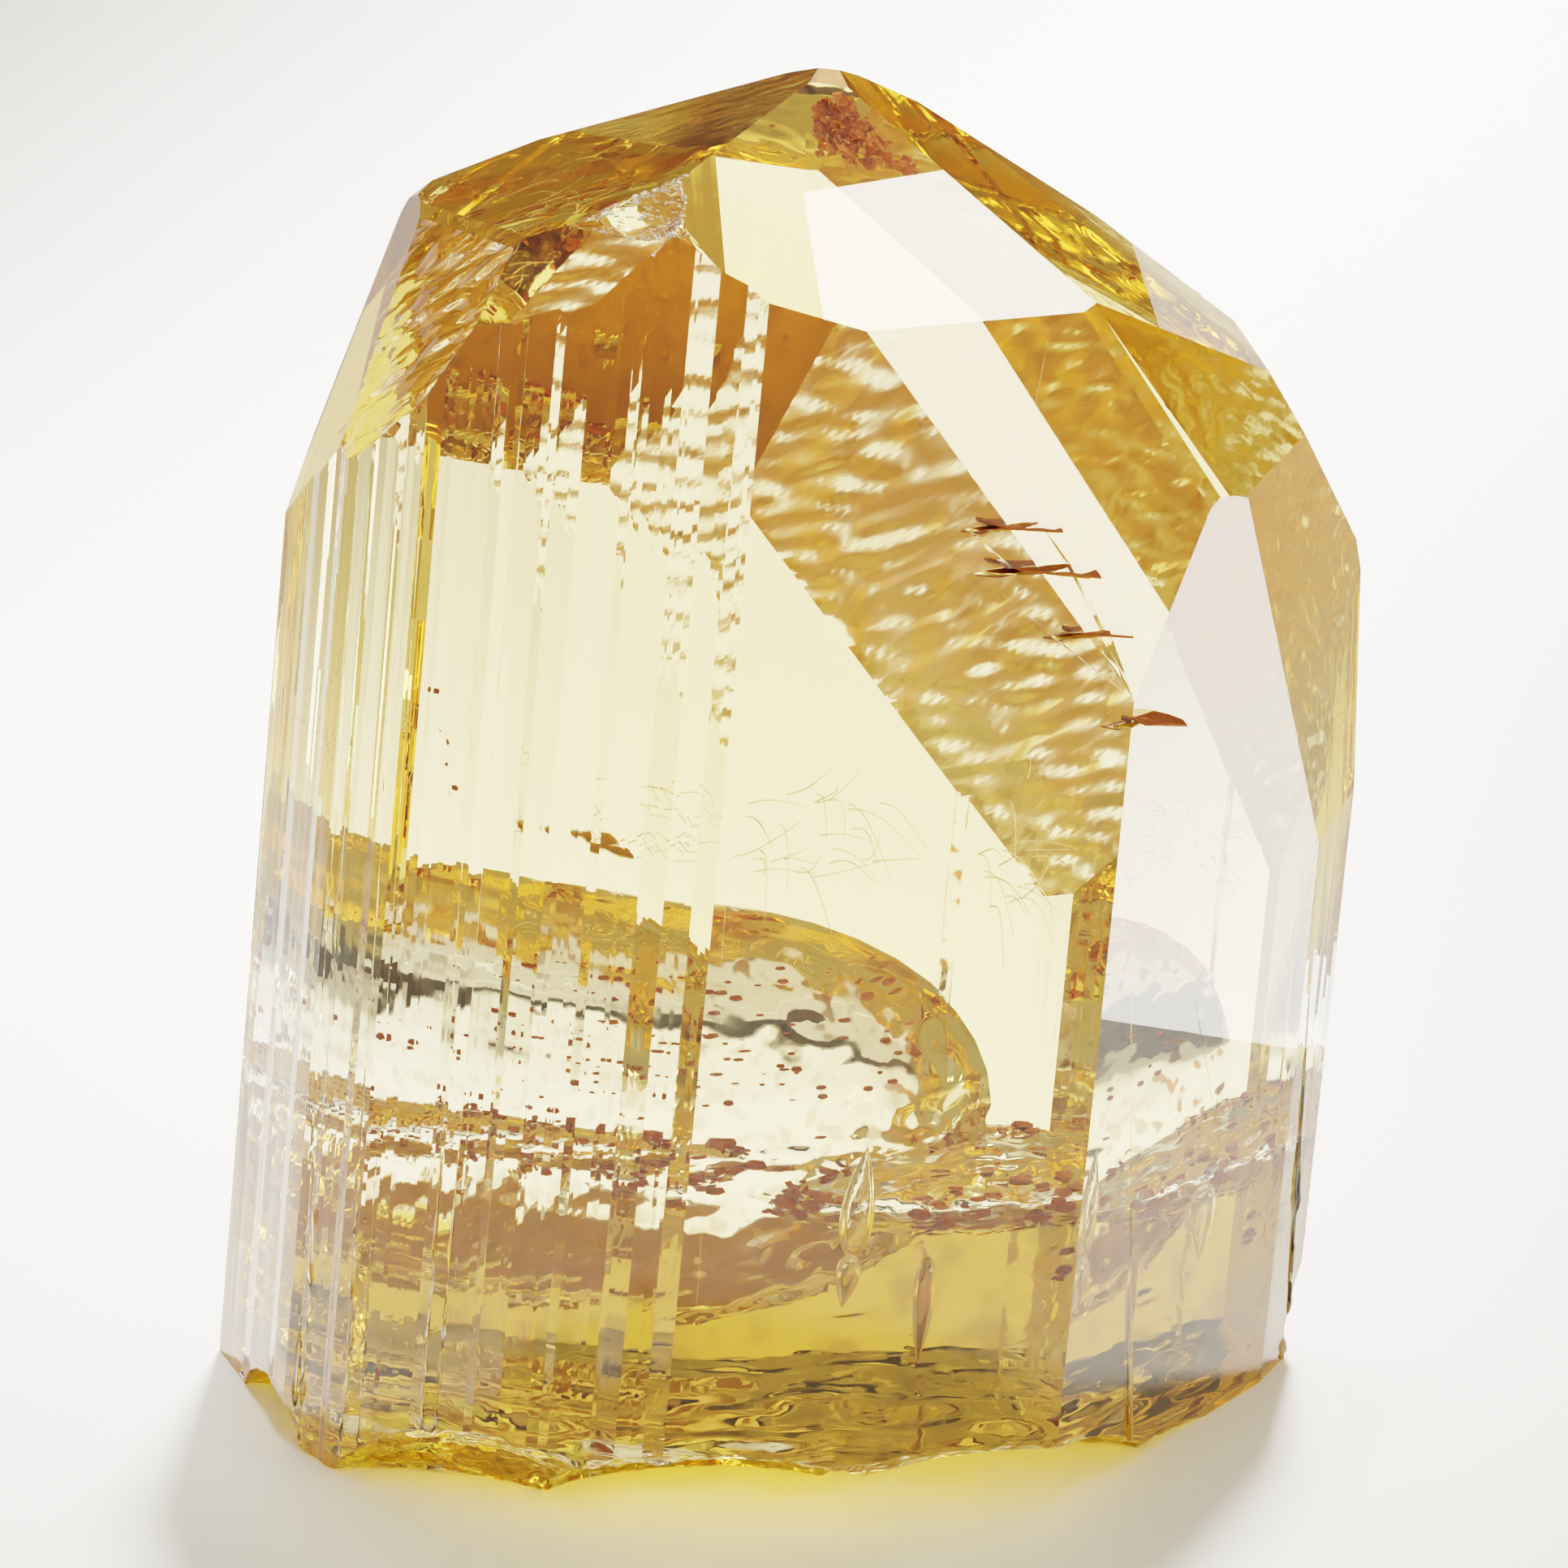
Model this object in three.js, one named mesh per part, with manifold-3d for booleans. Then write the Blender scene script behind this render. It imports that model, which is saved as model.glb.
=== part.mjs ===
// A short, stout, yellow tourmaline crystal: a striated prism with a many-faced top and a broken foot.
// Millimetres, +Z up. The front is -Y, the right is +X, and the crystal stands on z = 0.
import * as THREE from 'three';
import { mergeVertices } from 'three/addons/utils/BufferGeometryUtils.js';
import Module from 'manifold-3d';

const wasm = await Module();
wasm.setup();

// Driving dimensions
const AXIS_LEAN = 5.1; // degrees that the crystal's long axis leans to the right
const ROUGH_LENGTH = 60; // the prism before its ends are cut, longer than the crystal
const CUTTER_SIZE = 80; // edge of the block that cuts a flat face
const EDGE_BEVEL_DEPTH = 0.05; // how far a narrow bevel takes down the edge that it follows

// The prism's outline, looking along the crystal's axis. It starts at the right flank's back edge and
// runs across the front to the left and round the back, strip by strip. A strip is the direction it
// faces, in degrees from the front with the right positive, and its width. Neighbouring strips that
// face a little differently are the growth ridges, and the last one closes the outline by itself.
const OUTLINE_START = [8.94, 1.41];
const RIGHT_FLANK = [[69, 1.76]];
const RIGHT_FRONT = [[58, 7.12]];
const WIDE_FRONT = [[7.5, 6.67]];
const STEPPED_FRONT = [
  [-28, 0.4], [-8, 0.47], [-30, 0.5],
  [-15, 0.72], [-26, 0.18], [-16, 0.72],
];
const LEFT_FRONT = [
  [-30, 0.5], [-44, 0.2], [-32, 0.55], [-24, 0.25],
  [-40, 0.3], [-33, 0.75], [-39, 0.25], [-28, 0.32],
];
const LEFT_SIDE = [[-52, 0.45], [-65, 0.3], [-56, 0.6], [-63, 0.25], [-55, 0.38]];
const LEFT_FLANK = [[-68, 0.6], [-80, 0.5], [-73, 1.2], [-79, 0.6], [-72, 1.5]];
const LEFT_BACK = [
  [-118, 0.8], [-136, 1.4], [-146, 0.5], [-134, 1.6],
  [-141, 0.7], [-135, 1.5], [-150, 0.7],
];
const WIDE_BACK = [[-172, 1.6], [178, 0.3], [-174, 4.2], [172, 0.25], [-175, 1.45]];
const RIGHT_BACK = [[150, 0.6], [134, 2.2], [124, 0.5], [136, 2.6], [128, 0.6]];
const STRIPS = [
  ...RIGHT_FLANK, ...RIGHT_FRONT, ...WIDE_FRONT, ...STEPPED_FRONT, ...LEFT_FRONT,
  ...LEFT_SIDE, ...LEFT_FLANK, ...LEFT_BACK, ...WIDE_BACK, ...RIGHT_BACK,
];

// The faces of the top: the direction each faces, its normal's angle from the axis, and its distance
// from the middle of the foot.
const LOW_FRONT = { facing: 29, slope: 33, distance: 20.48 };
const STEEP_FRONT = { facing: 30, slope: 72.4, distance: 11.74 };
const STEEP_RIGHT = { facing: 63.2, slope: 57.3, distance: 15.46 };
const LOW_RIGHT = { facing: 89, slope: 31.5, distance: 19.51 };
const RIGHT_SHOULDER = { facing: 67.4, slope: 84.8, distance: 8.67 };
const RIGHT_CORNER = { facing: 100.5, slope: 56, distance: 15.75 };
const STEEP_LEFT_FRONT = { facing: -41.7, slope: 69.3, distance: 14.59 };
const STEEP_LEFT = { facing: -77.8, slope: 67, distance: 14.73 };
const LEFT_SHOULDER = { facing: -86.5, slope: 71.8, distance: 13.65 };
const LOW_LEFT = { facing: -93, slope: 29.4, distance: 21.26 };
const LEFT_CREST = { facing: -100, slope: 45, distance: 19.85 };
const LEFT_CORNER = { facing: -110, slope: 62, distance: 16.85 };
const WORN_TIP = { facing: 60, slope: 12, distance: 23 };
const CROWN = { facing: -172.4, slope: 22, distance: 21.35 };
const LOW_BACK = { facing: -174.2, slope: 33.2, distance: 19.08 };
const STEEP_BACK = { facing: -173.5, slope: 55.4, distance: 14.28 };
const RIGHT_BACK_SLOPE = { facing: 157, slope: 41.8, distance: 17.1 };
const ETCHED_BACK = { facing: 156, slope: 67, distance: 10.4 };
const TOP_FACES = [
  LOW_FRONT, STEEP_FRONT, STEEP_RIGHT, LOW_RIGHT, RIGHT_SHOULDER, RIGHT_CORNER,
  STEEP_LEFT_FRONT, STEEP_LEFT, LEFT_SHOULDER, LOW_LEFT, LEFT_CREST, LEFT_CORNER,
  WORN_TIP, CROWN, LOW_BACK, STEEP_BACK, RIGHT_BACK_SLOPE, ETCHED_BACK,
];

// Edges of the top that a narrow bevel takes off, each named by its two faces and a third that ends it.
const BEVELLED_EDGES = [
  [STEEP_FRONT, STEEP_RIGHT, LOW_FRONT],
  [STEEP_LEFT, LOW_LEFT, STEEP_LEFT_FRONT],
];

// Shell-shaped breaks, placed on the standing crystal. Each is part of a stretched ball: its middle,
// its half sizes, and its turn about the upright in degrees.
const FOOT_LEVEL = -0.25; // height of the flat that the crystal stands on, before it is moved to z = 0
const FOOT_BREAKS = [
  { middle: [-9.1, -2.3, -0.7], half: [1.15, 2.2, 1.25], turn: 0 },
  { middle: [-5.5, -7.4, -1.2], half: [4.4, 2.8, 2.6], turn: -33 },
  { middle: [-1.2, -8.6, -0.9], half: [4.6, 4.65, 2], turn: -8 },
  { middle: [4.2, -7.6, -0.9], half: [4.6, 5.2, 1.85], turn: 12 },
  { middle: [7.6, -3.9, -0.9], half: [3.4, 1.9, 1.2], turn: 58 },
  { middle: [10.3, 0.5, -0.6], half: [1.6, 4, 3.2], turn: 0 },
  { middle: [6.6, 7.4, -0.8], half: [3.4, 3, 1.7], turn: -40 },
  { middle: [-7.2, 6.4, -0.6], half: [2.8, 2.2, 1.5], turn: 42 },
];
// One wide break low on the back, and two ledges in it.
const BACK_BREAKS = [
  { middle: [-3.6, 9.4, 4.35], half: [7.2, 5.6, 4.6], turn: 0 },
  { middle: [-4.5, 8, 4], half: [5.5, 4.9, 0.95], turn: 0 },
  { middle: [2.2, 8.6, 3.1], half: [4.6, 5.2, 0.9], turn: -8 },
];
const TOP_PITS = [
  { middle: [-2.67, -6.49, 23.42], half: [1.6, 1.6, 1.6], turn: 0 },
];
// Thin open cracks that run in from the edge between the wide front and the steep front face.
const EDGE_CRACKS = [
  { middle: [3.7, -6.75, 17.15], half: [0.75, 0.55, 0.06], turn: 20 },
  { middle: [4.1, -6.7, 16.4], half: [1, 0.6, 0.07], turn: 10 },
  { middle: [5, -6.55, 15.25], half: [0.6, 0.5, 0.05], turn: 25 },
  { middle: [5.95, -6.35, 13.65], half: [0.6, 0.5, 0.06], turn: 30 },
];
const BREAK_FACETS = [44, 30]; // round a break's ball, and from its top to its bottom
const CRACK_FACETS = [22, 10]; // the same for the flat ball of a crack

function toSolid(geometry) {
  const bare = geometry.clone();
  bare.deleteAttribute('normal');
  bare.deleteAttribute('uv');
  const merged = mergeVertices(bare, 1e-5);
  const mesh = new wasm.Mesh({
    numProp: 3,
    vertProperties: new Float32Array(merged.attributes.position.array),
    triVerts: new Uint32Array(merged.index.array),
  });
  return new wasm.Manifold(mesh);
}

function toGeometry(solid) {
  const mesh = solid.getMesh();
  const geometry = new THREE.BufferGeometry();
  geometry.setAttribute('position', new THREE.BufferAttribute(mesh.vertProperties, 3));
  geometry.setIndex(new THREE.BufferAttribute(mesh.triVerts, 1));
  return geometry;
}

// The outward direction of a face, in the crystal's own frame.
function faceNormal(face) {
  const facing = THREE.MathUtils.degToRad(face.facing);
  const slope = THREE.MathUtils.degToRad(face.slope);
  const across = Math.sin(slope);
  return new THREE.Vector3(across * Math.sin(facing), -across * Math.cos(facing), Math.cos(slope));
}

// A block whose near side lies on a plane, so that taking it away leaves a flat face there.
function flatCutter(normal, distance) {
  const block = new THREE.BoxGeometry(CUTTER_SIZE, CUTTER_SIZE, CUTTER_SIZE);
  block.translate(0, 0, distance + CUTTER_SIZE / 2);
  const turn = new THREE.Quaternion().setFromUnitVectors(new THREE.Vector3(0, 0, 1), normal);
  block.applyQuaternion(turn);
  return toSolid(block);
}

// The point where three faces meet.
function corner(faces) {
  const normals = faces.map(faceNormal);
  const rows = new THREE.Matrix3();
  rows.set(
    normals[0].x, normals[0].y, normals[0].z,
    normals[1].x, normals[1].y, normals[1].z,
    normals[2].x, normals[2].y, normals[2].z,
  );
  const distances = new THREE.Vector3(faces[0].distance, faces[1].distance, faces[2].distance);
  return distances.applyMatrix3(rows.invert());
}

// A narrow face along the edge between two faces, a little below it.
function edgeBevel([first, second, third]) {
  const normal = faceNormal(first).add(faceNormal(second)).normalize();
  const edgePoint = corner([first, second, third]);
  return flatCutter(normal, normal.dot(edgePoint) - EDGE_BEVEL_DEPTH);
}

function shellBreak({ middle, half, turn }, facets) {
  const ball = new THREE.SphereGeometry(1, facets[0], facets[1]);
  ball.scale(half[0], half[1], half[2]);
  ball.rotateZ(THREE.MathUtils.degToRad(turn));
  ball.translate(middle[0], middle[1], middle[2]);
  return toSolid(ball);
}

// The prism: the outline walked strip by strip and drawn out along the axis.
function striatedPrism() {
  const at = new THREE.Vector2(OUTLINE_START[0], OUTLINE_START[1]);
  const outline = new THREE.Shape();
  outline.moveTo(at.x, at.y);
  for (const [facing, width] of STRIPS) {
    const angle = THREE.MathUtils.degToRad(facing);
    at.x -= width * Math.cos(angle);
    at.y -= width * Math.sin(angle);
    outline.lineTo(at.x, at.y);
  }
  outline.closePath();
  const prism = new THREE.ExtrudeGeometry(outline, { depth: ROUGH_LENGTH, bevelEnabled: false });
  prism.translate(0, 0, -ROUGH_LENGTH / 2);
  return toSolid(prism);
}

function crystalGeometry() {
  let solid = striatedPrism();
  for (const face of TOP_FACES) {
    solid = solid.subtract(flatCutter(faceNormal(face), face.distance));
  }
  for (const edge of BEVELLED_EDGES) {
    solid = solid.subtract(edgeBevel(edge));
  }

  // The whole crystal leans, and its foot is level.
  const leaning = toGeometry(solid);
  leaning.rotateY(THREE.MathUtils.degToRad(AXIS_LEAN));
  solid = toSolid(leaning);
  solid = solid.subtract(flatCutter(new THREE.Vector3(0, 0, -1), -FOOT_LEVEL));
  for (const chip of [...FOOT_BREAKS, ...BACK_BREAKS, ...TOP_PITS]) {
    solid = solid.subtract(shellBreak(chip, BREAK_FACETS));
  }
  for (const crack of EDGE_CRACKS) {
    solid = solid.subtract(shellBreak(crack, CRACK_FACETS));
  }

  // The foot's middle goes to the origin.
  const geometry = toGeometry(solid);
  geometry.computeBoundingBox();
  const middle = geometry.boundingBox.getCenter(new THREE.Vector3());
  geometry.translate(-middle.x, -middle.y, -geometry.boundingBox.min.z);
  return geometry;
}

const crystal = new THREE.Mesh(
  crystalGeometry(),
  new THREE.MeshStandardMaterial({ color: '#e0bd62', roughness: 0.08, metalness: 0 }),
);
crystal.name = 'crystal';

const tourmaline = new THREE.Group();
tourmaline.add(crystal);

export default tourmaline;
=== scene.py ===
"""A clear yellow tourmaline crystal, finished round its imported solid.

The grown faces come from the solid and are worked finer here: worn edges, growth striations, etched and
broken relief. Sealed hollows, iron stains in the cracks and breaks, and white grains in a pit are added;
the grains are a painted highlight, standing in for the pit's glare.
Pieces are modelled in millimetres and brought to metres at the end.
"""
import math
import random

import bpy
from mathutils import Euler, Matrix, Vector, noise


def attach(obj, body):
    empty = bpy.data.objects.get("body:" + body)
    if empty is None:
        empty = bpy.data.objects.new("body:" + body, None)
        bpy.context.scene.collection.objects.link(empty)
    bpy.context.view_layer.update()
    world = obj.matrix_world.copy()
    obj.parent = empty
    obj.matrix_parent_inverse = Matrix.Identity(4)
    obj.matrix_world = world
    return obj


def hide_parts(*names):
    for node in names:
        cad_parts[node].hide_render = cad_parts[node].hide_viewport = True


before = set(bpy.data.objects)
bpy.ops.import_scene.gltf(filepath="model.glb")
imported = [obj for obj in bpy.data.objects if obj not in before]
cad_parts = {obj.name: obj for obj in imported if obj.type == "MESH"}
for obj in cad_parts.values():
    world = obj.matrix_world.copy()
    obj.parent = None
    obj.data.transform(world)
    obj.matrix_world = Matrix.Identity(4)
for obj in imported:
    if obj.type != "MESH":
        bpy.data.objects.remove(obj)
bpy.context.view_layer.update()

MM = 0.001
AXIS_LEAN = 5.1  # degrees that the crystal's axis leans to the right

# Zones of the surface, kept as face marks while the crystal is modelled
GROWN, WORN, BROKEN, ETCHED, STRIATED, FOOT = range(6)

# Directions of the crystal's faces: degrees from the front, right positive, and from the axis
LOW_FRONT = (29, 33)
STEEP_LEFT = (-77.8, 67)
ETCHED_BACK = (156, 67)
SMOOTHEST_FACING = (4, 62)  # prism faces between these directions grew without striations
STILL_BACK = (165, 195)  # and so did the back face between these

BREAK_TOP = 9.3  # height that the breaks of the foot and the back stay under
ETCHED_LOW = 3.4  # height up to which the back is etched
PIT_MIDDLE = Vector((-2.69, -6.45, 23.67))
PIT_REACH = 1.75
CRACKS = [  # middle of each edge crack, its half length and depth, and its turn in degrees
    (Vector((3.68, -6.71, 17.40)), 0.95, 0.70, 20),
    (Vector((4.08, -6.66, 16.65)), 1.25, 0.75, 10),
    (Vector((4.98, -6.51, 15.50)), 0.80, 0.60, 25),
    (Vector((5.93, -6.31, 13.90)), 0.75, 0.60, 30),
]


def linear(hex_colour):
    """An sRGB hex colour as linear red, green, blue and alpha."""
    parts = [int(hex_colour[i:i + 2], 16) / 255 for i in (1, 3, 5)]
    return (*[c / 12.92 if c <= 0.04045 else ((c + 0.055) / 1.055) ** 2.4 for c in parts], 1.0)


# Modelling helpers

def only(piece):
    """Makes a piece the only selected object, and the active one."""
    if bpy.context.mode != "OBJECT":
        bpy.ops.object.mode_set(mode="OBJECT")
    bpy.ops.object.select_all(action="DESELECT")
    piece.select_set(True)
    bpy.context.view_layer.objects.active = piece


def pick_faces(piece, wanted):
    """Goes into edit mode with the faces selected that wanted accepts."""
    only(piece)
    bpy.context.tool_settings.mesh_select_mode = (False, False, True)
    mesh = piece.data
    chosen = [wanted(face) for face in mesh.polygons]
    mesh.vertices.foreach_set("select", [False] * len(mesh.vertices))
    mesh.edges.foreach_set("select", [False] * len(mesh.edges))
    mesh.polygons.foreach_set("select", chosen)
    bpy.ops.object.mode_set(mode="EDIT")


def mark_faces(piece, zone, wanted):
    """Gives a zone's mark to the faces that wanted accepts."""
    only(piece)
    for face in piece.data.polygons:
        if wanted(face):
            face.material_index = zone


def direction(facing, slope):
    """The outward direction of a crystal face on the standing, leaning crystal."""
    facing, slope, lean = (math.radians(a) for a in (facing, slope, AXIS_LEAN))
    out = math.sin(slope)
    grown = Vector((out * math.sin(facing), -out * math.cos(facing), math.cos(slope)))
    return Matrix.Rotation(lean, 3, "Y") @ grown


AXIS = direction(0, 0)


def facing_of(normal):
    """Degrees from the front, right positive, that a prism face looks towards."""
    upright = Matrix.Rotation(-math.radians(AXIS_LEAN), 3, "Y") @ normal
    return math.degrees(math.atan2(upright.x, -upright.y))


def looks(face, facing_slope, degrees=0.8):
    return face.normal.angle(direction(*facing_slope)) < math.radians(degrees)


def cut_lines(piece, zone, across, spacing, jitter=0.0):
    """Cuts the faces of a zone by parallel planes, without parting them."""
    pick_faces(piece, lambda face: face.material_index == zone)
    bpy.ops.mesh.hide(unselected=True)
    bpy.ops.object.mode_set(mode="OBJECT")
    across = across.normalized()
    places = [across.dot(v.co) for v in piece.data.vertices if not v.hide]
    bpy.ops.object.mode_set(mode="EDIT")
    chance = random.Random(zone)
    at = min(places) + spacing / 2
    while at < max(places):
        bpy.ops.mesh.select_all(action="SELECT")
        bpy.ops.mesh.bisect(plane_co=across * at, plane_no=across, threshold=1e-5)
        at += spacing * (1 + jitter * chance.uniform(-1, 1))
    bpy.ops.mesh.reveal(select=False)
    bpy.ops.object.mode_set(mode="OBJECT")


def zone_group(piece, zone, below=99):
    """A vertex group of the points that lie inside a zone, off its border and below a height."""
    only(piece)
    mesh = piece.data
    inside = [True] * len(mesh.vertices)
    touched = [False] * len(mesh.vertices)
    for face in mesh.polygons:
        for index in face.vertices:
            if face.material_index == zone:
                touched[index] = True
            else:
                inside[index] = False
    group = piece.vertex_groups.new(name=f"zone_{zone}")
    for vertex in mesh.vertices:
        if inside[vertex.index] and touched[vertex.index] and vertex.co.z < below:
            group.add([vertex.index], min(1, below - vertex.co.z), "REPLACE")
    return group.name


def carve(piece, group, size, depth, stretch=(1, 1, 1), turn=None, level=0.5, along="NORMAL",
          seed=(0, 0, 0), finer=2):
    """Raises and lowers a group's points by a noise of a grain size, stretched along its own axes."""
    grain = bpy.data.textures.new("grain", "CLOUDS")
    grain.noise_scale = size
    grain.noise_depth = finer
    bpy.ops.object.empty_add(location=seed)
    holder = bpy.context.object
    holder.rotation_mode = "QUATERNION"
    if turn:
        holder.rotation_quaternion = turn
    holder.scale = stretch
    only(piece)
    bpy.ops.object.modifier_add(type="DISPLACE")
    relief = piece.modifiers[-1]
    relief.texture = grain
    relief.texture_coords = "OBJECT"
    relief.texture_coords_object = holder
    relief.vertex_group = group
    relief.strength = depth
    relief.mid_level = level
    relief.direction = along
    bpy.ops.object.modifier_apply(modifier=relief.name)
    bpy.data.objects.remove(holder)
    bpy.data.textures.remove(grain)


def to_metres(piece):
    only(piece)
    piece.scale = (MM, MM, MM)
    bpy.ops.object.transform_apply(location=True, rotation=True, scale=True)


# The crystal

def solid_copy():
    """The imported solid's faces as whole flat polygons, in millimetres."""
    piece = bpy.data.objects.new("tourmaline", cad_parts["crystal"].data.copy())
    bpy.context.scene.collection.objects.link(piece)
    piece.data.materials.clear()
    only(piece)
    piece.scale = (1 / MM, 1 / MM, 1 / MM)
    bpy.ops.object.transform_apply(scale=True)
    pick_faces(piece, lambda face: True)
    bpy.ops.mesh.remove_doubles(threshold=0.001)
    bpy.ops.mesh.dissolve_limited(angle_limit=math.radians(0.3))
    bpy.ops.object.mode_set(mode="OBJECT")
    for zone in range(FOOT + 1):
        piece.data.materials.append(None)
    return piece


def is_foot(face):
    """True on the level area that the crystal stands on."""
    return face.normal.z < -0.999 and face.center.z < 0.01


def is_broken(face):
    """True on the small curved faces of the breaks, the pit and the cracks."""
    if is_foot(face):
        return False
    if (face.center - PIT_MIDDLE).length < PIT_REACH and face.area < 0.5:
        return True
    for middle, length, _, _ in CRACKS:
        if (face.center - middle).length < length and face.area < 0.2:
            return True
    return face.center.z < BREAK_TOP and face.area < 1.2


def mark_zones(piece):
    mark_faces(piece, GROWN, lambda face: True)
    mark_faces(piece, BROKEN, is_broken)
    mark_faces(piece, FOOT, is_foot)
    mark_faces(piece, ETCHED, lambda face: looks(face, ETCHED_BACK) or looks(face, STEEP_LEFT))

    def striated(face):
        if face.material_index != GROWN or abs(face.normal.dot(AXIS)) > 0.01:
            return False
        facing = facing_of(face.normal)
        still = STILL_BACK[0] < facing % 360 < STILL_BACK[1]
        return not (still or SMOOTHEST_FACING[0] < facing < SMOOTHEST_FACING[1])
    mark_faces(piece, STRIATED, striated)


def etch_low_back(piece, height):
    """Marks the back's grown faces below a height as etched, after a cut across them there."""
    def grown_behind(face):
        return face.material_index in (GROWN, STRIATED) and face.normal.y > 0.6
    pick_faces(piece, grown_behind)
    bpy.ops.mesh.bisect(plane_co=(0, 0, height), plane_no=(0, 0, 1), threshold=1e-5)
    bpy.ops.object.mode_set(mode="OBJECT")
    mark_faces(piece, ETCHED, lambda face: grown_behind(face) and face.center.z < height)


def wear_edges(piece, width, sharpest):
    """Takes down the edges between grown faces, as handling does."""
    only(piece)
    mesh = piece.data
    beside = {}
    for face in mesh.polygons:
        for key in face.edge_keys:
            beside.setdefault(key, []).append(face)
    bpy.context.tool_settings.mesh_select_mode = (False, True, False)
    mesh.polygons.foreach_set("select", [False] * len(mesh.polygons))
    mesh.vertices.foreach_set("select", [False] * len(mesh.vertices))
    for edge in mesh.edges:
        faces = beside[edge.key]
        grown = all(face.material_index in (GROWN, ETCHED, STRIATED) for face in faces)
        edge.select = grown and faces[0].normal.angle(faces[1].normal) > math.radians(sharpest)
    bpy.ops.object.mode_set(mode="EDIT")
    bpy.ops.mesh.bevel(offset=width, segments=2, affect="EDGES", clamp_overlap=True, material=WORN)
    bpy.ops.object.mode_set(mode="OBJECT")


def work_relief(piece):
    """Cuts the zones fine enough for their relief, and carves it."""
    lean = Matrix.Rotation(math.radians(AXIS_LEAN), 3, "Y")
    right = lean @ Vector((1, 0, 0))
    cut_lines(piece, STRIATED, right, 0.11, 0.4)
    cut_lines(piece, STRIATED, Vector((0, 1, 0)), 0.16, 0.4)
    cut_lines(piece, STRIATED, AXIS, 1.7, 0.3)
    cut_lines(piece, ETCHED, right, 0.18, 0.3)
    cut_lines(piece, ETCHED, Vector((0, 0.6, 0.8)), 0.055)
    cut_lines(piece, FOOT, Vector((1, 0, 0)), 0.33)
    cut_lines(piece, FOOT, Vector((0, 1, 0)), 0.33)
    pick_faces(piece, lambda face: face.material_index == BROKEN)
    bpy.ops.mesh.quads_convert_to_tris()
    bpy.ops.mesh.subdivide(number_cuts=3)
    bpy.ops.object.mode_set(mode="OBJECT")

    along_axis = lean.to_quaternion()
    striae = zone_group(piece, STRIATED)
    carve(piece, striae, 1.0, 0.02, stretch=(0.22, 0.22, 9), turn=along_axis)
    etched = zone_group(piece, ETCHED)
    grain_turn = Matrix.Rotation(math.radians(80), 3, "Y").to_quaternion()
    carve(piece, etched, 1.0, 0.16, stretch=(0.3, 0.3, 1.6), turn=grain_turn, finer=1)
    carve(piece, etched, 1.0, 0.05, stretch=(0.18, 0.18, 0.8), turn=grain_turn, seed=(3, 1, 2), finer=0)
    broken = zone_group(piece, BROKEN)
    carve(piece, broken, 1.0, 0.14, stretch=(1.6, 1.6, 0.8))
    carve(piece, broken, 1.0, 0.03, stretch=(0.5, 0.5, 0.25), seed=(5, 2, 1))
    low_break = zone_group(piece, BROKEN, 5.2)
    carve(piece, low_break, 1.0, 0.3, stretch=(0.9, 0.9, 0.5), seed=(2, 7, 3))
    carve(piece, low_break, 1.0, 0.08, stretch=(0.35, 0.35, 0.2), seed=(4, 4, 1))
    foot = zone_group(piece, FOOT)
    carve(piece, foot, 1.0, 0.35, stretch=(1.8, 1.8, 1.8), level=0.3, along="Z")
    carve(piece, foot, 1.0, 0.07, stretch=(0.5, 0.5, 0.5), level=0.0, along="Z", seed=(1, 6, 2))
    for vertex in piece.data.vertices:
        vertex.co.z = max(vertex.co.z, 0.0)


def keep_finish(piece):
    """Writes the zones as face values that the material reads, and drops the face marks."""
    only(piece)
    mesh = piece.data
    finishes = {"worn": (WORN,), "broken": (BROKEN, FOOT), "etched": (ETCHED,), "foot": (FOOT,)}
    for name, zones in finishes.items():
        amounts = [float(face.material_index in zones) for face in mesh.polygons]
        if name == "etched":  # only the back's high etched face is frosted
            high = [face.center.y > 1 and face.center.z > ETCHED_LOW for face in mesh.polygons]
            amounts = [amount * kept for amount, kept in zip(amounts, high)]
        mesh.attributes.new(name, "FLOAT", "FACE").data.foreach_set("value", amounts)
    for face in mesh.polygons:
        face.use_smooth = face.material_index in (BROKEN, ETCHED, FOOT)
    piece.vertex_groups.clear()
    for face in mesh.polygons:
        face.material_index = 0
    mesh.materials.clear()


# What lies inside

def copies(model, name, places):
    """One piece of joined copies of a model, each at a middle, a size and a turn. The model goes."""
    made = []
    for middle, size, turn in places:
        copy = bpy.data.objects.new(name, model.data.copy())
        bpy.context.scene.collection.objects.link(copy)
        turned = Euler([math.radians(a) for a in turn])
        copy.data.transform(Matrix.LocRotScale(Vector(middle), turned, Vector(size)))
        made.append(copy)
    bpy.data.objects.remove(model)
    only(made[0])
    for copy in made:
        copy.select_set(True)
    bpy.ops.object.join()
    made[0].name = name
    return made[0]


def drop():
    """A hollow of one millimetre half size that runs out to a point at its top."""
    bpy.ops.mesh.primitive_uv_sphere_add(segments=28, ring_count=20, radius=1)
    piece = bpy.context.object
    bpy.context.tool_settings.mesh_select_mode = (True, False, False)
    bpy.ops.object.mode_set(mode="EDIT")
    bpy.ops.mesh.select_all(action="DESELECT")
    bpy.ops.object.mode_set(mode="OBJECT")
    for vertex in piece.data.vertices:
        vertex.select = vertex.co.z > 0.99
    bpy.ops.object.mode_set(mode="EDIT")
    bpy.ops.transform.translate(value=(0, 0, 1.3), use_proportional_edit=True,
                                proportional_edit_falloff="SHARP", proportional_size=1.9)
    bpy.ops.object.mode_set(mode="OBJECT")
    return piece


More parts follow.
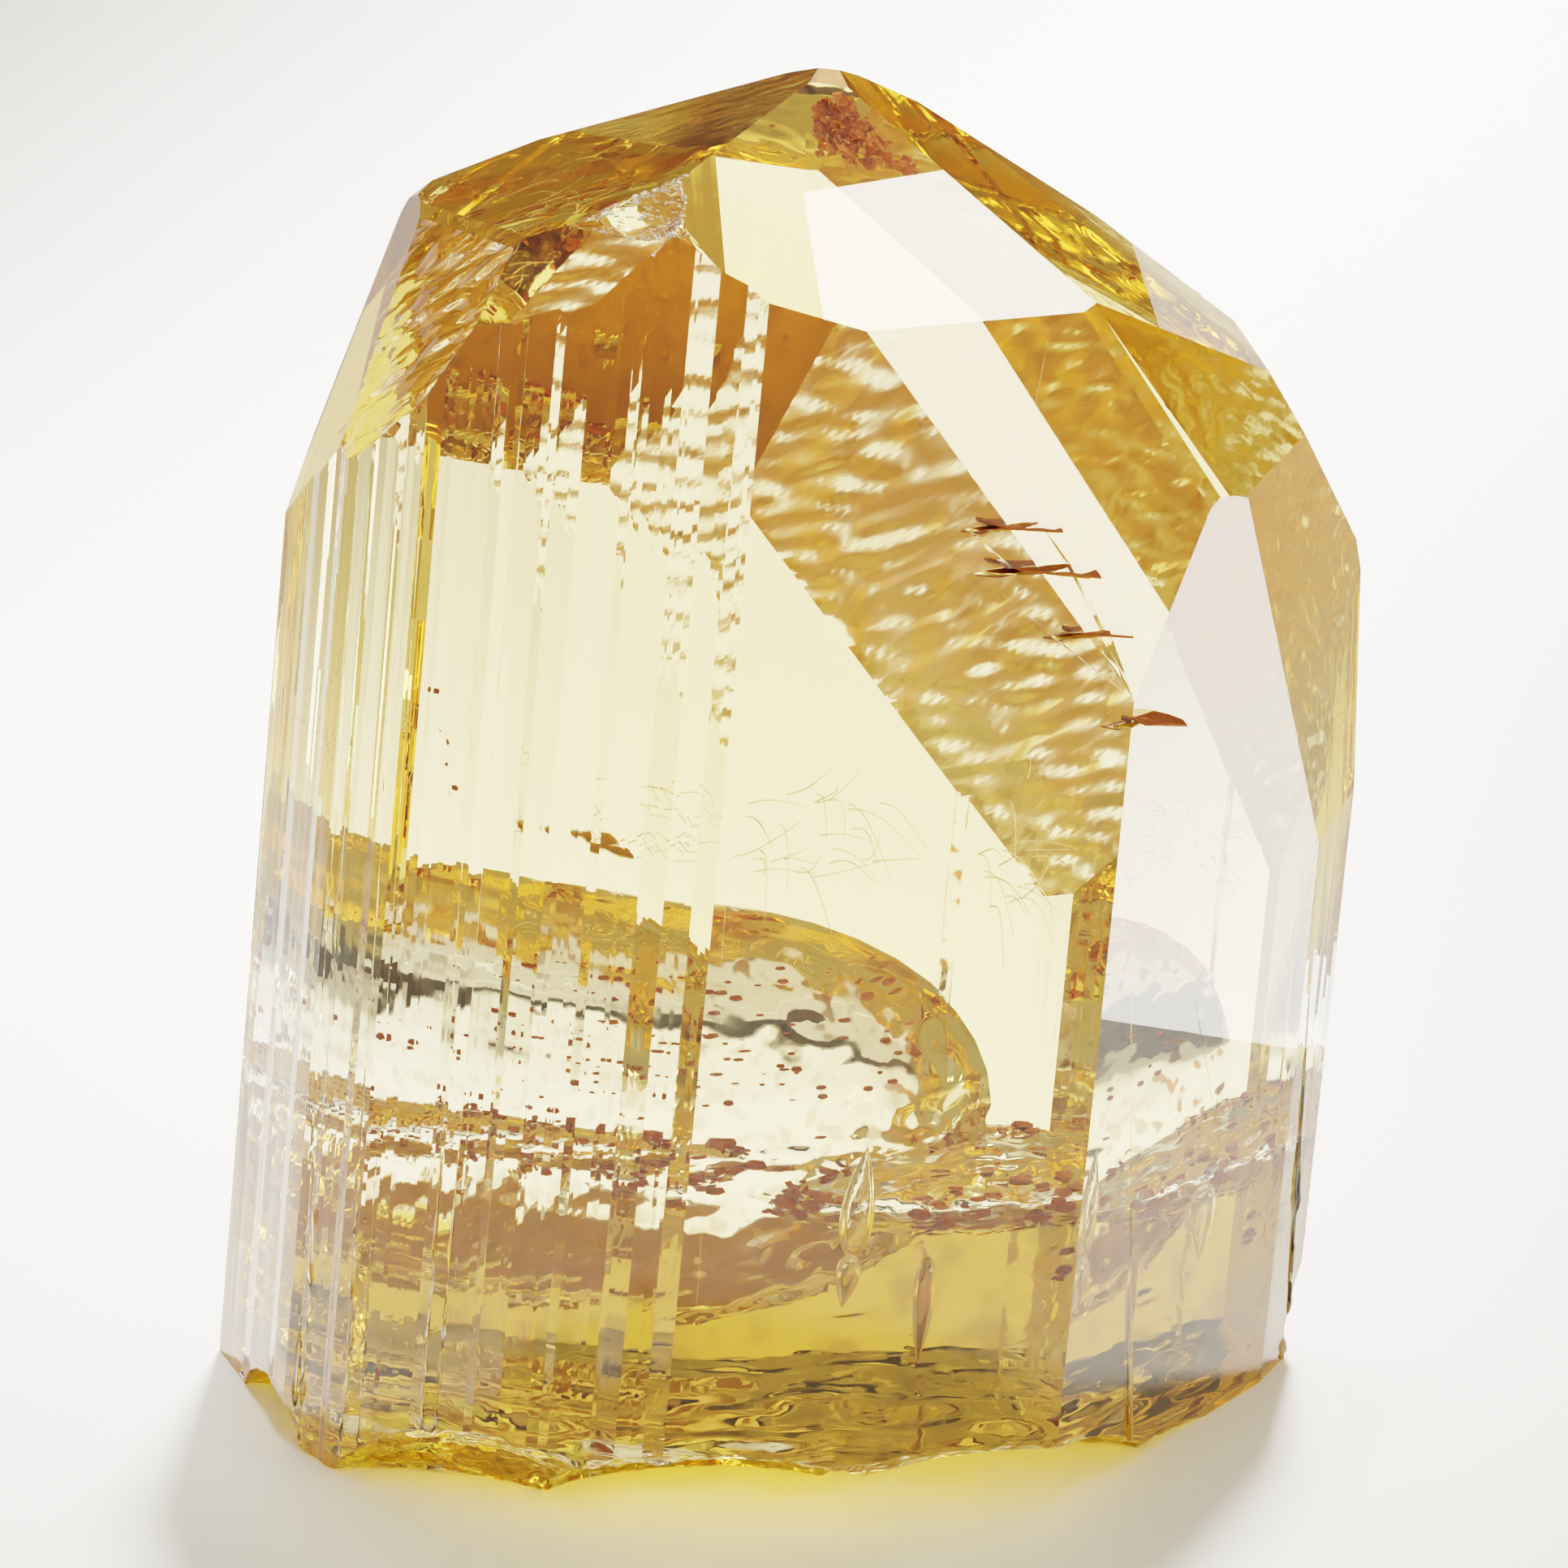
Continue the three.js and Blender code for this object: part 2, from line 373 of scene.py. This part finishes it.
def threads(boxes):
    """Hair-thin hollow threads, curling through the given boxes."""
    chance = random.Random(7)
    noise.seed_set(7)  # without a seed the noise starts from the clock
    bpy.ops.curve.primitive_nurbs_path_add()
    piece = bpy.context.object
    line = piece.data
    line.splines.clear()
    for low, high, count in boxes:
        for number in range(count):
            at = Vector([chance.uniform(a, b) for a, b in zip(low, high)])
            way = Vector((chance.uniform(0.4, 1), chance.uniform(-0.4, 0.4), chance.uniform(-0.3, 0.5)))
            curl = Vector((chance.uniform(-0.1, 0.1), chance.uniform(-0.2, 0.2), chance.uniform(-0.5, 0.2)))
            path = line.splines.new("NURBS")
            path.points.add(6)
            path.use_endpoint_u = True
            for index, point in enumerate(path.points):
                point.co = (*at, 1)
                point.radius = 1 - 0.11 * index
                at = at + way * 0.16
                way = way + curl + noise.noise_vector(at * 3) * 0.25
    line.bevel_depth = 0.017
    line.bevel_resolution = 1
    line.use_fill_caps = True
    only(piece)
    bpy.ops.object.convert(target="MESH")
    return piece


def hollow_out(piece):
    """Adds the sealed hollows of the crystal: drops, flat gas films and threads, faces turned inward."""
    drops = copies(drop(), "drops", [
        ((0.76, 2.2, 3.45), (0.30, 0.22, 0.62), (0, 8, 0)),
        ((0.62, 2.3, 2.55), (0.22, 0.2, 0.3), (0, -170, 0)),
        ((1.9, 3.2, 2.0), (0.2, 0.18, 0.62), (180, 5, 0)),
        ((4.9, 1.7, 3.3), (0.40, 0.14, 0.45), (180, 0, 30)),
        ((-2.6, -1.3, 10.9), (0.42, 0.07, 0.22), (60, 20, 10)),
        ((-2.3, -1.2, 10.7), (0.34, 0.05, 0.16), (65, 24, 14)),
    ])
    hairs = threads([
        ((-1.6, 5.2, 9.1), (1.0, 6.2, 10.6), 26),
        ((2.4, 3.8, 8.6), (3.8, 5.4, 10.8), 20),
    ])
    for hollow in (drops, hairs):
        pick_faces(hollow, lambda face: True)
        bpy.ops.mesh.flip_normals()
        bpy.ops.mesh.faces_shade_smooth()
        bpy.ops.object.mode_set(mode="OBJECT")
        hollow.data.materials.clear()
    only(piece)
    drops.select_set(True)
    hairs.select_set(True)
    bpy.ops.object.join()


def flake():
    """A thin crinkled scale of one millimetre half size."""
    bpy.ops.mesh.primitive_circle_add(vertices=9, radius=1, fill_type="NGON")
    piece = bpy.context.object
    pick_faces(piece, lambda face: True)
    bpy.ops.mesh.inset(thickness=0.4)
    bpy.ops.mesh.poke()
    bpy.ops.object.mode_set(mode="OBJECT")
    everything = piece.vertex_groups.new(name="all")
    everything.add(range(len(piece.data.vertices)), 1.0, "REPLACE")
    carve(piece, "all", 0.8, 1.1, along="Z")
    carve(piece, "all", 0.7, 0.9, along="X", seed=(3, 0, 0))
    carve(piece, "all", 0.7, 0.9, along="Y", seed=(0, 4, 0))
    bpy.ops.object.modifier_add(type="SOLIDIFY")
    piece.modifiers[-1].thickness = 0.12
    bpy.ops.object.modifier_apply(modifier=piece.modifiers[-1].name)
    return piece


def grain():
    """A rough grain of one millimetre half size."""
    bpy.ops.mesh.primitive_ico_sphere_add(subdivisions=1, radius=1)
    piece = bpy.context.object
    everything = piece.vertex_groups.new(name="all")
    everything.add(range(len(piece.data.vertices)), 1.0, "REPLACE")
    carve(piece, "all", 0.8, 0.9)
    return piece


def scattered(chance, low, high, count, small, large):
    """Places for small copies, spread at random through a box."""
    places = []
    for number in range(count):
        middle = [chance.uniform(a, b) for a, b in zip(low, high)]
        size = chance.uniform(small, large)
        breadth = size * chance.uniform(0.5, 1)
        turn = [chance.uniform(0, 360) for axis in range(3)]
        places.append((middle, (size, breadth, size * 0.5), turn))
    return places


def under_faces(piece, chance, wanted, count, depth, small, large):
    """Places for small copies under faces of the crystal that wanted accepts, at a depth below them."""
    faces = [face for face in piece.data.polygons if wanted(face)]
    places = []
    for number in range(count):
        face = chance.choice(faces)
        middle = face.center - face.normal * depth
        size = chance.uniform(small, large)
        turn = [math.degrees(a) for a in face.normal.to_track_quat("Z", "Y").to_euler()]
        breadth = size * chance.uniform(0.2, 0.6)
        places.append((middle, (size, breadth, size * 0.4), turn))
    return places


def iron_stains(piece):
    """Rusty scales: in the edge cracks, under the tip, and along the breaks of the back and the foot."""
    chance = random.Random(11)
    places = []
    for middle, length, depth, turn in CRACKS:
        long_scale = (length * 0.75, depth * 0.4, 0.3)
        short_scale = (length * 0.45, depth * 0.35, 0.2)
        places.append((middle + Vector((0.15, 0.5, 0)), long_scale, (0, 9, turn / 2)))
        places.append((middle + Vector((-0.35, 0.5, -0.05)), short_scale, (0, -8, 0)))
    corners = ((0.5, -2.75, 23.65), (1.0, -2.35, 23.66), (2.3, -3.32, 22.54), (0.62, -3.75, 22.99))
    tip = [Vector(corner) for corner in corners]
    inward = -direction(*LOW_FRONT)
    for number in range(300):
        a, b = chance.random(), chance.random()
        spot = tip[0].lerp(tip[1], a).lerp(tip[3].lerp(tip[2], a), b)
        spot = spot + inward * chance.uniform(0.05, 0.35)
        size = chance.uniform(0.04, 0.11)
        turn = [chance.uniform(0, 360) for axis in range(3)]
        places.append((spot, (size, size, size * 0.5), turn))

    def on_back(low, high):
        return lambda face: (face.material_index == BROKEN and low[0] < face.center.x < high[0]
                             and face.center.y > 2 and low[1] < face.center.z < high[1])
    places += under_faces(piece, chance, on_back((-2.2, 3.2), (0.6, 4.6)), 70, 0.05, 0.05, 0.2)
    places += under_faces(piece, chance, on_back((-2.5, 5.2), (1.6, 7.4)), 70, 0.05, 0.03, 0.12)
    places += under_faces(piece, chance, on_back((1.8, 0.6), (5.5, 4.2)), 130, 0.05, 0.04, 0.2)
    places += under_faces(piece, chance, on_back((-7.0, 1.0), (-2.2, 6.5)), 90, 0.05, 0.03, 0.15)
    places += scattered(chance, (-8.5, -1.9, 1.9), (-8.0, -0.6, 4.0), 26, 0.04, 0.1)
    places += scattered(chance, (-5.6, -0.3, 21.0), (-0.6, 0.6, 21.3), 12, 0.03, 0.08)
    places += scattered(chance, (-5.6, -3.8, 11.6), (-5.0, -2.6, 13.8), 6, 0.03, 0.06)
    return copies(flake(), "iron_stains", places)


def pit_grains(piece):
    """White grains in the pit at the top's left front corner: a painted highlight, their white standing in
    for the glare of light in the pit.
    """
    chance = random.Random(5)

    def in_pit(face):
        return face.material_index == BROKEN and (face.center - PIT_MIDDLE).length < PIT_REACH + 0.1
    return copies(grain(), "pit_grains", under_faces(piece, chance, in_pit, 240, 0.02, 0.03, 0.07))


def settle(piece, material):
    """Brings a finished piece to metres, gives it its material and ties it to the part."""
    to_metres(piece)
    piece.data.materials.clear()
    piece.data.materials.append(material)
    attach(piece, "root")


def crystal():
    piece = solid_copy()
    mark_zones(piece)
    etch_low_back(piece, ETCHED_LOW)
    wear_edges(piece, width=0.15, sharpest=22)
    work_relief(piece)
    stains = iron_stains(piece)
    grains = pit_grains(piece)
    keep_finish(piece)
    hollow_out(piece)
    settle(piece, tourmaline_material())
    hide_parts("crystal")
    settle(stains, rust_material())
    # The pit's white grains are a painted highlight, standing in for its glare.
    settle(grains, pit_glare_material())


# Materials

def add_node(tree, kind, settings=None, links=None, **properties):
    """Adds a node with its properties, socket values and links."""
    made = tree.nodes.new(kind)
    for name, value in properties.items():
        setattr(made, name, value)
    for name, value in (settings or {}).items():
        made.inputs[name].default_value = value
    for name, source in (links or {}).items():
        tree.links.new(source, made.inputs[name])
    return made


def new_material(name):
    material = bpy.data.materials.new(name)
    material.use_nodes = True
    tree = material.node_tree
    return material, tree, tree.nodes["Principled BSDF"]


def tourmaline_material():
    """Gem tourmaline as it grew: glassy and honey yellow through, frosted on worn edges and breaks."""
    material, tree, surface = new_material("tourmaline_as_grown")
    place = add_node(tree, "ShaderNodeTexCoord").outputs["Object"]
    worn = add_node(tree, "ShaderNodeAttribute", attribute_name="worn").outputs["Fac"]
    broken = add_node(tree, "ShaderNodeAttribute", attribute_name="broken").outputs["Fac"]
    etched = add_node(tree, "ShaderNodeAttribute", attribute_name="etched").outputs["Fac"]
    foot = add_node(tree, "ShaderNodeAttribute", attribute_name="foot").outputs["Fac"]
    patches = add_node(tree, "ShaderNodeTexNoise", {"Scale": 1 / (0.9 * MM), "Detail": 2.0},
                       {"Vector": place})
    frost = add_node(tree, "ShaderNodeMapRange", {"From Min": 0.45, "From Max": 0.7, "To Max": 0.16},
                     {"Value": patches.outputs["Fac"]})
    on_break = add_node(tree, "ShaderNodeMath", {}, {0: frost.outputs["Result"], 1: broken},
                        operation="MULTIPLY")
    on_etch = add_node(tree, "ShaderNodeMath", {1: 0.2}, {0: etched}, operation="MULTIPLY")
    on_edge = add_node(tree, "ShaderNodeMath", {1: 0.25}, {0: worn, 2: on_etch.outputs[0]},
                       operation="MULTIPLY_ADD")
    rough = add_node(tree, "ShaderNodeMath", {}, {0: on_break.outputs[0], 1: on_edge.outputs[0]},
                     operation="ADD")
    tree.links.new(rough.outputs[0], surface.inputs["Roughness"])
    # Iron film round the foot: golden in front and below, dark and blotted behind, where it reaches higher.
    at = add_node(tree, "ShaderNodeSeparateXYZ", {}, {0: place})
    rise = add_node(tree, "ShaderNodeMath", {1: -0.2}, {0: at.outputs["Y"], 2: at.outputs["Z"]},
                    operation="MULTIPLY_ADD")
    ragged = add_node(tree, "ShaderNodeMath", {1: 2.4 * MM},
                      {0: patches.outputs["Fac"], 2: rise.outputs[0]}, operation="MULTIPLY_ADD")
    reach = add_node(tree, "ShaderNodeMapRange", {"From Min": 3.9 * MM, "From Max": 2.7 * MM},
                     {"Value": ragged.outputs[0]})
    front = add_node(tree, "ShaderNodeMapRange", {"From Min": 5.5 * MM, "From Max": 3.0 * MM},
                     {"Value": at.outputs["Y"]})
    pale = add_node(tree, "ShaderNodeMath", {}, {0: foot, 1: front.outputs["Result"]}, operation="MAXIMUM")
    soiled = add_node(tree, "ShaderNodeMapRange", {"To Min": 1.0, "To Max": 0.2},
                      {"Value": pale.outputs[0]})
    film_tone = add_node(tree, "ShaderNodeMix", {"A": linear("#432c03"), "B": linear("#c0981c")},
                         {"Factor": pale.outputs[0]}, data_type="RGBA")
    specks = add_node(tree, "ShaderNodeTexNoise", {"Scale": 1 / (0.35 * MM), "Detail": 1.0},
                      {"Vector": place})
    spots = add_node(tree, "ShaderNodeMapRange", {"From Min": 0.56, "From Max": 0.66},
                     {"Value": specks.outputs["Fac"]})
    on_spots = add_node(tree, "ShaderNodeMath", {}, {0: spots.outputs["Result"], 1: broken},
                        operation="MULTIPLY")
    soil_spots = add_node(tree, "ShaderNodeMath", {},
                          {0: on_spots.outputs[0], 1: soiled.outputs["Result"]}, operation="MULTIPLY")
    blots = add_node(tree, "ShaderNodeMapRange", {"From Min": 0.45, "From Max": 0.62},
                     {"Value": patches.outputs["Fac"]})
    soil_blots = add_node(tree, "ShaderNodeMath", {},
                          {0: blots.outputs["Result"], 1: soiled.outputs["Result"]}, operation="MULTIPLY")
    rust = add_node(tree, "ShaderNodeMix", {"B": linear("#2a1a02")},
                    {"Factor": soil_blots.outputs[0], "A": film_tone.outputs["Result"]}, data_type="RGBA")
    filmed = add_node(tree, "ShaderNodeMix", {"A": (1, 1, 1, 1)},
                      {"Factor": reach.outputs["Result"], "B": rust.outputs["Result"]}, data_type="RGBA")
    stained = add_node(tree, "ShaderNodeMix", {"B": linear("#4a1e06")},
                       {"Factor": soil_spots.outputs[0], "A": filmed.outputs["Result"]}, data_type="RGBA")
    tree.links.new(stained.outputs["Result"], surface.inputs["Base Color"])
    surface.inputs["Transmission Weight"].default_value = 1.0
    surface.inputs["IOR"].default_value = 1.63
    depth = add_node(tree, "ShaderNodeVolumeAbsorption")
    depth.inputs["Color"].default_value = linear("#fae322")
    depth.inputs["Density"].default_value = 84.0
    tree.links.new(depth.outputs[0], tree.nodes["Material Output"].inputs["Volume"])
    return material


def rust_material():
    """Limonite, the rust that seeps into cracks: dull, earthy, orange to dark brown."""
    material, tree, surface = new_material("limonite_stain")
    place = add_node(tree, "ShaderNodeTexCoord").outputs["Object"]
    mottle = add_node(tree, "ShaderNodeTexNoise", {"Scale": 1 / (0.4 * MM), "Detail": 4.0},
                      {"Vector": place})
    high = add_node(tree, "ShaderNodeSeparateXYZ", {}, {0: place})
    at_tip = add_node(tree, "ShaderNodeMapRange", {"From Min": 20 * MM, "From Max": 22 * MM},
                      {"Value": high.outputs["Z"]})
    low_tone = add_node(tree, "ShaderNodeMix", {"A": linear("#7a3008"), "B": linear("#b8641a")},
                        {"Factor": mottle.outputs["Fac"]}, data_type="RGBA")
    tip_tone = add_node(tree, "ShaderNodeMix", {"A": linear("#b65606"), "B": linear("#ea8c10")},
                        {"Factor": mottle.outputs["Fac"]}, data_type="RGBA")
    blend = {"Factor": at_tip.outputs["Result"], "A": low_tone.outputs["Result"],
             "B": tip_tone.outputs["Result"]}
    tone = add_node(tree, "ShaderNodeMix", {}, blend, data_type="RGBA")
    tree.links.new(tone.outputs["Result"], surface.inputs["Base Color"])
    surface.inputs["Roughness"].default_value = 0.75
    return material


def pit_glare_material():
    """White grains with a weak gloss: a painted highlight, their white standing in for the glare of light
    in the pit.
    """
    material, tree, surface = new_material("pit_glare_grains")
    place = add_node(tree, "ShaderNodeTexCoord").outputs["Object"]
    cloud = add_node(tree, "ShaderNodeTexNoise", {"Scale": 1 / (0.15 * MM), "Detail": 3.0},
                     {"Vector": place})
    # Painted highlight: this pale white stands in for the glare of light in the pit.
    tone = add_node(tree, "ShaderNodeMix", {"A": linear("#e9dfc8"), "B": linear("#fbf7ee")},
                    {"Factor": cloud.outputs["Fac"]}, data_type="RGBA")
    tree.links.new(tone.outputs["Result"], surface.inputs["Base Color"])
    surface.inputs["Roughness"].default_value = 0.35
    return material


def board_material():
    """Matt painted board: pale, even and without gloss."""
    material, tree, surface = new_material("matt_board")
    place = add_node(tree, "ShaderNodeTexCoord").outputs["Object"]
    tooth = add_node(tree, "ShaderNodeTexNoise", {"Scale": 1 / (0.6 * MM), "Detail": 1.0},
                     {"Vector": place})
    tone = add_node(tree, "ShaderNodeMix", {"A": linear("#e9e8e5"), "B": linear("#ebeae7")},
                    {"Factor": tooth.outputs["Fac"]}, data_type="RGBA")
    tree.links.new(tone.outputs["Result"], surface.inputs["Base Color"])
    surface.inputs["Roughness"].default_value = 0.9
    return material


# The stage

def floor():
    bpy.ops.mesh.primitive_plane_add(size=1.6)
    board = bpy.context.object
    board.name = "board"
    board.location.z = -0.03 * MM  # a hair below the foot, so that light reaches the board under it
    board.data.materials.append(board_material())


def softbox(name, place, aim, width, height, power, side=(1, 0, 0), spread=180, tint="#fffaf2"):
    """A rectangular lamp that looks at aim, with its width laid along side."""
    light = bpy.data.lights.new(name, "AREA")
    light.shape = "RECTANGLE"
    light.size = width
    light.size_y = height
    light.energy = power
    light.color = linear(tint)[:3]
    light.spread = math.radians(spread)
    lamp = bpy.data.objects.new(name, light)
    bpy.context.scene.collection.objects.link(lamp)
    lamp.location = place
    lamp.visible_camera = False  # the lamps stay out of the picture from any side
    out = (Vector(place) - Vector(aim)).normalized()
    across = (Vector(side) - out * out.dot(Vector(side))).normalized()
    lamp.rotation_euler = Matrix((across, out.cross(across), out)).transposed().to_euler()


def studio():
    # Light on the floor behind, which shows through the front, and on the breaks from behind.
    softbox("pool_light", (0.018, 0.112, 0.12), (0.018, 0.112, 0), 0.03, 0.20, 0.13,
            side=(0.957, -0.29, 0), spread=32)
    softbox("beam", (0.03, 0.11, 0.22), (0, 0.004, 0.008), 0.03, 0.03, 0.014, spread=15)
    softbox("back_panel", (0.02, 0.30, 0.165), (0, 0, 0.01), 0.5, 0.2, 0.3)
    softbox("low_panel", (0.03, 0.094, 0.019), (0, 0, 0.0065), 0.07, 0.014, 0.003)
    # The next two are laid so that an edge of each falls across the face that mirrors it.
    softbox("top_light", (0.155, 0.0883, 0.2627), (0.0158, -0.0101, 0.0161), 0.03, 0.03, 0.075,
            side=(0.685, 0.455, -0.569), tint="#fff1d6")
    softbox("right_light", (0.1751, -0.108, 0.0453), (-0.0007, -0.0178, 0.0137), 0.03, 0.04, 0.12,
            side=(-0.394, -0.871, -0.294), tint="#ffe9b4")
    # A low panel that the right face mirrors, facing up.
    softbox("right_panel", (0.032, 0.0105, 0.0012), (0.032, 0.0105, 0.1), 0.028, 0.018, 0.0095,
            side=(0.86, 0.51, 0))
    # A tent that is bright over and before the crystal, and dark behind it.
    world = bpy.data.worlds.new("tent")
    world.use_nodes = True
    tree = world.node_tree
    out = add_node(tree, "ShaderNodeTexCoord").outputs["Generated"]
    forward = add_node(tree, "ShaderNodeVectorMath", {1: (0, -0.42, 0.91)}, {0: out},
                       operation="DOT_PRODUCT")
    fall_off = {"From Min": -0.1, "From Max": 0.55, "To Min": 0.05, "To Max": 0.42}
    glow = add_node(tree, "ShaderNodeMapRange", fall_off, {"Value": forward.outputs["Value"]})
    tree.nodes["Background"].inputs["Color"].default_value = linear("#f1efea")
    tree.links.new(glow.outputs["Result"], tree.nodes["Background"].inputs["Strength"])
    scene = bpy.context.scene
    scene.world = world
    scene.view_settings.view_transform = "Filmic"
    scene.view_settings.look = "Medium High Contrast"
    scene.view_settings.exposure = 0.5
    scene.cycles.use_light_tree = False
    scene.cycles.max_bounces = 12
    scene.cycles.glossy_bounces = 12
    scene.cycles.transmission_bounces = 12


def camera():
    """The view: 18 degrees from above, 190 mm away, 72 pixels to the millimetre in a 1932 pixel picture."""
    distance = 190
    pixels_per_mm = 72
    picture_width = 1932
    view = bpy.data.cameras.new("camera")
    view.sensor_width = 36
    view.lens = view.sensor_width * pixels_per_mm * distance / picture_width
    view.clip_start = 0.01
    eye = bpy.data.objects.new("camera", view)
    bpy.context.scene.collection.objects.link(eye)
    aim = Vector((0, 0.04, 10.85)) * MM
    tilt = math.radians(18)
    away = Vector((0, -math.cos(tilt), math.sin(tilt)))
    eye.location = aim + away * distance * MM
    eye.rotation_euler = (-away).to_track_quat("-Z", "Y").to_euler()
    bpy.context.scene.camera = eye


camera()
crystal()
floor()
studio()
